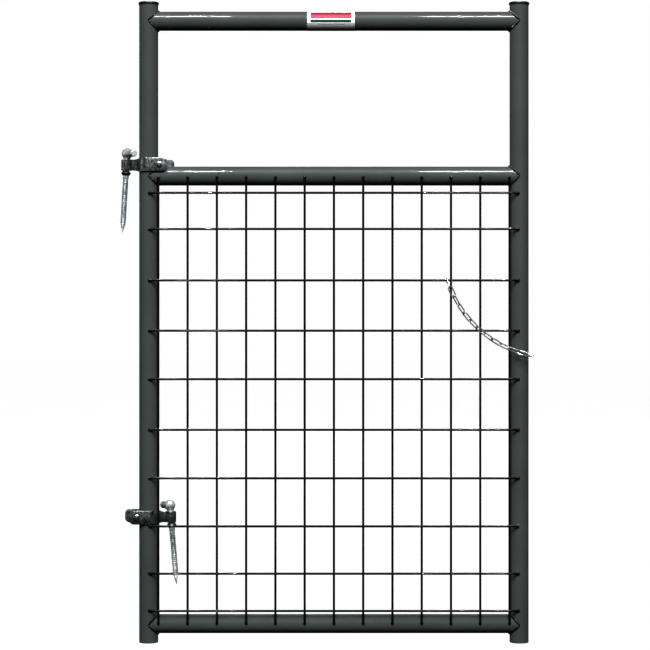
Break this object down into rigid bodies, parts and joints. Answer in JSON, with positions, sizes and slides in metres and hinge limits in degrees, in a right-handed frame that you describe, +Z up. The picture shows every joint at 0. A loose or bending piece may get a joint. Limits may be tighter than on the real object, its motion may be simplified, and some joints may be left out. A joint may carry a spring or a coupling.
{
  "type": "livestock panel gate",
  "caption": "Narrow walk-through livestock gate: round-tube frame, welded wire mesh under an open window, clamp-on strap hinges with screw hooks, and a latch chain.",
  "frame": {"origin": "on the hinge stile's axis, level with its foot", "axes": "+X from the hinge stile to the latch stile, +Z up the stiles, -Y is the front, where the mesh and the chain are"},
  "size_m": [1.114, 0.0951, 1.7269],
  "materials": {
    "frame_paint": "gloss powder coat",
    "mesh_paint": "gloss powder coat",
    "cap_plastic": "moulded, slightly glossy",
    "label_film": "gloss film",
    "strap_zinc": "mottled zinc",
    "hook_zinc": "bright zinc",
    "bolt_zinc": "bright zinc",
    "retainer_black": "satin",
    "chain_zinc": "bright zinc"
  },
  "bodies": {
    "frame": {"hinge_stile": "frame_paint", "latch_stile": "frame_paint", "top_rail": "frame_paint", "mid_rail": "frame_paint", "bottom_rail": "frame_paint", "hinge_stile_cap": "cap_plastic", "latch_stile_cap": "cap_plastic", "label": "label_film", "mesh_row_01": "mesh_paint", "mesh_row_02": "mesh_paint", "mesh_row_03": "mesh_paint", "mesh_row_04": "mesh_paint", "mesh_row_05": "mesh_paint", "mesh_row_06": "mesh_paint", "mesh_row_07": "mesh_paint", "mesh_row_08": "mesh_paint", "mesh_row_09": "mesh_paint", "mesh_row_10": "mesh_paint", "mesh_bar_01": "mesh_paint", "mesh_bar_02": "mesh_paint", "mesh_bar_03": "mesh_paint", "mesh_bar_04": "mesh_paint", "mesh_bar_05": "mesh_paint", "mesh_bar_06": "mesh_paint", "mesh_bar_07": "mesh_paint", "mesh_bar_08": "mesh_paint", "mesh_bar_09": "mesh_paint", "mesh_bar_10": "mesh_paint", "mesh_bar_11": "mesh_paint", "mesh_bar_12": "mesh_paint", "mesh_bar_13": "mesh_paint"},
    "upper_hinge_strap": {"upper_strap": "strap_zinc", "upper_clamp_bolt": "bolt_zinc", "upper_lock_washer": "bolt_zinc", "upper_clamp_nut": "bolt_zinc"},
    "upper_hinge_hook": {"upper_hook": "hook_zinc", "upper_retainer": "retainer_black"},
    "lower_hinge_strap": {"lower_strap": "strap_zinc", "lower_clamp_bolt": "bolt_zinc", "lower_lock_washer": "bolt_zinc", "lower_clamp_nut": "bolt_zinc"},
    "lower_hinge_hook": {"lower_hook": "hook_zinc", "lower_retainer": "retainer_black"},
    "chain_01": {"chain_link_01": "chain_zinc"},
    "chain_02": {"chain_link_02": "chain_zinc"},
    "chain_03": {"chain_link_03": "chain_zinc"},
    "chain_04": {"chain_link_04": "chain_zinc"},
    "chain_05": {"chain_link_05": "chain_zinc"},
    "chain_06": {"chain_link_06": "chain_zinc"},
    "chain_07": {"chain_link_07": "chain_zinc"},
    "chain_08": {"chain_link_08": "chain_zinc"},
    "chain_09": {"chain_link_09": "chain_zinc"},
    "chain_10": {"chain_link_10": "chain_zinc"},
    "chain_11": {"chain_link_11": "chain_zinc"},
    "chain_end": {"chain_end_loop": "chain_zinc"}
  },
  "joints": [
    {"name": "upper_strap_slide", "type": "slide", "parent": "frame", "child": "upper_hinge_strap", "axis": [0, 0, 1], "range_m": [0, 0.33]},
    {"name": "upper_hook_turn", "type": "hinge", "parent": "upper_hinge_strap", "child": "upper_hinge_hook", "pos_m": [-0.06, 0, 1.28767], "axis": [0.0593, 0, 0.9982], "range_deg": [-262, 14]},
    {"name": "lower_strap_turn", "type": "hinge", "parent": "frame", "child": "lower_hinge_strap", "pos_m": [0, 0, 0.3385], "axis": [0, 0, 1], "range_deg": [-10, 60]},
    {"name": "lower_hook_turn", "type": "hinge", "parent": "lower_hinge_strap", "child": "lower_hinge_hook", "pos_m": [0.06, 0, 0.3385], "axis": [-0.0837, 0, 0.9965], "range_deg": [-226, 11]},
    {"name": "chain_anchor_lift", "type": "hinge", "parent": "frame", "child": "chain_01", "pos_m": [0.803, -0.03405, 0.976], "axis": [-1, 0, 0], "range_deg": [0, 120]},
    {"name": "chain_02_swing", "type": "hinge", "parent": "chain_01", "child": "chain_02", "pos_m": [0.81055, -0.0448, 0.9573], "axis": [0, 1, 0], "range_deg": [-15, 25]},
    {"name": "chain_03_swing", "type": "hinge", "parent": "chain_02", "child": "chain_03", "pos_m": [0.82113, -0.0448, 0.93355], "axis": [0, 1, 0], "range_deg": [-15, 25]},
    {"name": "chain_04_swing", "type": "hinge", "parent": "chain_03", "child": "chain_04", "pos_m": [0.83373, -0.0448, 0.91081], "axis": [0, 1, 0], "range_deg": [-15, 25]},
    {"name": "chain_05_swing", "type": "hinge", "parent": "chain_04", "child": "chain_05", "pos_m": [0.84827, -0.0448, 0.88926], "axis": [0, 1, 0], "range_deg": [-15, 25]},
    {"name": "chain_06_swing", "type": "hinge", "parent": "chain_05", "child": "chain_06", "pos_m": [0.86464, -0.0448, 0.86905], "axis": [0, 1, 0], "range_deg": [-15, 25]},
    {"name": "chain_07_swing", "type": "hinge", "parent": "chain_06", "child": "chain_07", "pos_m": [0.8827, -0.0448, 0.85035], "axis": [0, 1, 0], "range_deg": [-15, 25]},
    {"name": "chain_08_swing", "type": "hinge", "parent": "chain_07", "child": "chain_08", "pos_m": [0.90232, -0.0448, 0.83329], "axis": [0, 1, 0], "range_deg": [-15, 25]},
    {"name": "chain_09_swing", "type": "hinge", "parent": "chain_08", "child": "chain_09", "pos_m": [0.92335, -0.0448, 0.81801], "axis": [0, 1, 0], "range_deg": [-15, 25]},
    {"name": "chain_10_swing", "type": "hinge", "parent": "chain_09", "child": "chain_10", "pos_m": [0.94564, -0.0448, 0.80462], "axis": [0, 1, 0], "range_deg": [-15, 25]},
    {"name": "chain_11_swing", "type": "hinge", "parent": "chain_10", "child": "chain_11", "pos_m": [0.96901, -0.0448, 0.79322], "axis": [0, 1, 0], "range_deg": [-15, 25]},
    {"name": "chain_end_swing", "type": "hinge", "parent": "chain_11", "child": "chain_end", "pos_m": [0.99328, -0.0448, 0.7839], "axis": [0, 1, 0], "range_deg": [-15, 25]}
  ]
}
